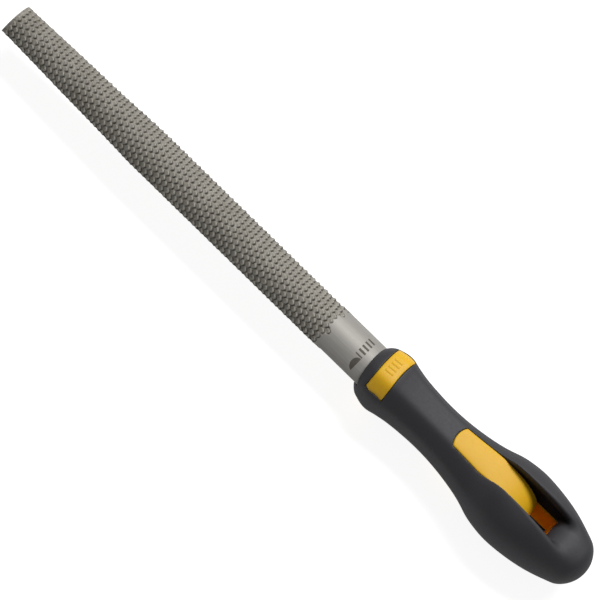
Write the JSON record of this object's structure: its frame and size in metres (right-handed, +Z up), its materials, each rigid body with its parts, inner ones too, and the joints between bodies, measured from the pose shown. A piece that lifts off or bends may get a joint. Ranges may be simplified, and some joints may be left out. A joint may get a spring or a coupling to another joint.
{
  "type": "wood rasp",
  "caption": "Half-round wood rasp with punched teeth, a smooth heel and a tapered tang in a waisted two-component plastic handle that has a thumb window and a hanging eye.",
  "frame": {"origin": "on the tool's long axis, half way between the blade's point and the handle's butt", "axes": "+X along the tool from the point to the butt, +Y across the flat side, +Z up on the round side of the blade"},
  "size_m": [0.3154, 0.0362, 0.032],
  "materials": {
    "blade_steel": "bare hardened tool steel: satin ground heel, dull grey punched teeth",
    "hard_plastic": "moulded warm yellow polypropylene, satin",
    "soft_plastic": "dark grey thermoplastic elastomer, fine matt moulded texture"
  },
  "bodies": {
    "handle": {"handle_core": "hard_plastic", "soft_grip": "soft_plastic"},
    "blade": {"rasp_blade": "blade_steel"}
  },
  "joints": [
    {"name": "blade_draw", "type": "slide", "parent": "handle", "child": "blade", "axis": [-1, 0, 0], "range_m": [0, 0.07]}
  ]
}
